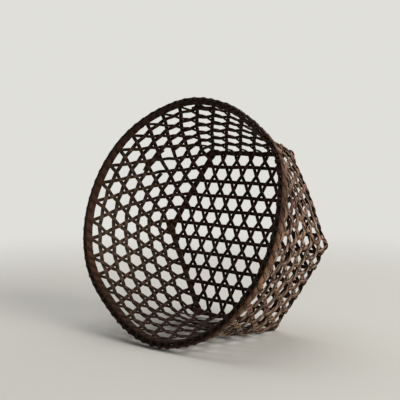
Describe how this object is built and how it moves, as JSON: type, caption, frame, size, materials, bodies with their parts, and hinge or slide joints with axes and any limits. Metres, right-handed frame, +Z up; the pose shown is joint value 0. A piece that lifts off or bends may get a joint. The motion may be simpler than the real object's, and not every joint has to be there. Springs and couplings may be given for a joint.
{
  "type": "cheese basket",
  "caption": "Round-rimmed basket of open hexagonal plait on a hexagonal base, lying on its side, for draining or carrying curd and cheese.",
  "frame": {"origin": "middle of the footprint, on the surface that the basket lies on", "axes": "+Z up from that surface, mouth towards -Y and slightly up, +X to the right when looking into the mouth"},
  "size_m": [0.3134, 0.2096, 0.301],
  "materials": {
    "splint_wood": "aged, dry satin",
    "hoop_wood": "aged, dry satin",
    "band_wood": "dark, worn satin",
    "lashing_wood": "aged, worn satin"
  },
  "bodies": {
    "root": {"splint_a_01": "splint_wood", "splint_a_02": "splint_wood", "splint_a_03": "splint_wood", "splint_a_04": "splint_wood", "splint_a_05": "splint_wood", "splint_a_06": "splint_wood", "splint_a_07": "splint_wood", "splint_a_08": "splint_wood", "splint_a_09": "splint_wood", "splint_a_10": "splint_wood", "splint_a_11": "splint_wood", "splint_a_12": "splint_wood", "splint_b_01": "splint_wood", "splint_b_02": "splint_wood", "splint_b_03": "splint_wood", "splint_b_04": "splint_wood", "splint_b_05": "splint_wood", "splint_b_06": "splint_wood", "splint_b_07": "splint_wood", "splint_b_08": "splint_wood", "splint_b_09": "splint_wood", "splint_b_10": "splint_wood", "splint_b_11": "splint_wood", "splint_b_12": "splint_wood", "splint_c_01": "splint_wood", "splint_c_02": "splint_wood", "splint_c_03": "splint_wood", "splint_c_04": "splint_wood", "splint_c_05": "splint_wood", "splint_c_06": "splint_wood", "splint_c_07": "splint_wood", "splint_c_08": "splint_wood", "splint_c_09": "splint_wood", "splint_c_10": "splint_wood", "splint_c_11": "splint_wood", "splint_c_12": "splint_wood", "wall_hoop_1": "hoop_wood", "wall_hoop_2": "hoop_wood", "wall_hoop_3": "hoop_wood", "wall_hoop_4": "hoop_wood", "wall_hoop_5": "hoop_wood", "wall_hoop_6": "hoop_wood", "rim_outer_band": "band_wood", "rim_inner_band": "band_wood", "rim_lashing_1": "lashing_wood", "rim_lashing_2": "lashing_wood", "rim_lashing_3": "lashing_wood", "rim_lashing_4": "lashing_wood", "rim_lashing_5": "lashing_wood", "rim_lashing_6": "lashing_wood"}
  },
  "joints": []
}
